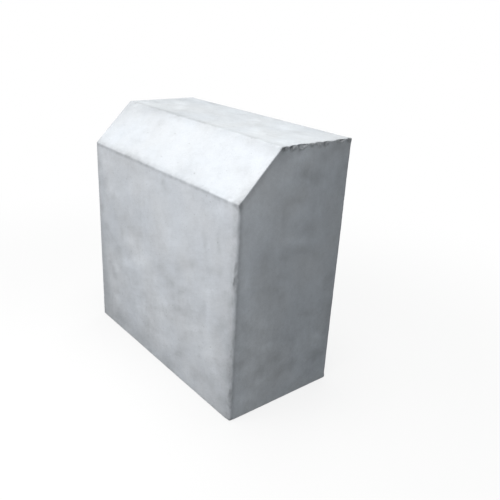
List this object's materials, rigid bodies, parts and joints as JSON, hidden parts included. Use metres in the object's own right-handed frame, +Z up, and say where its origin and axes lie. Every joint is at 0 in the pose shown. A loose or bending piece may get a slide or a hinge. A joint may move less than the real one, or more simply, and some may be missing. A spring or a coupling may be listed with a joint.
{
  "type": "concrete kerb stone",
  "caption": "Precast concrete kerb stone: an upright block with a 45 degree splay along its upper road-side edge, laid end to end along a road or path.",
  "frame": {"origin": "centre of the bed, the flat face that the stone is laid on", "axes": "+X along the kerb line, +Y from the road face to the back face, +Z up; the splay is on the -Y side"},
  "size_m": [0.3, 0.15, 0.3],
  "materials": {
    "concrete": "matte"
  },
  "bodies": {
    "root": {"kerb_stone": "concrete"}
  },
  "joints": []
}
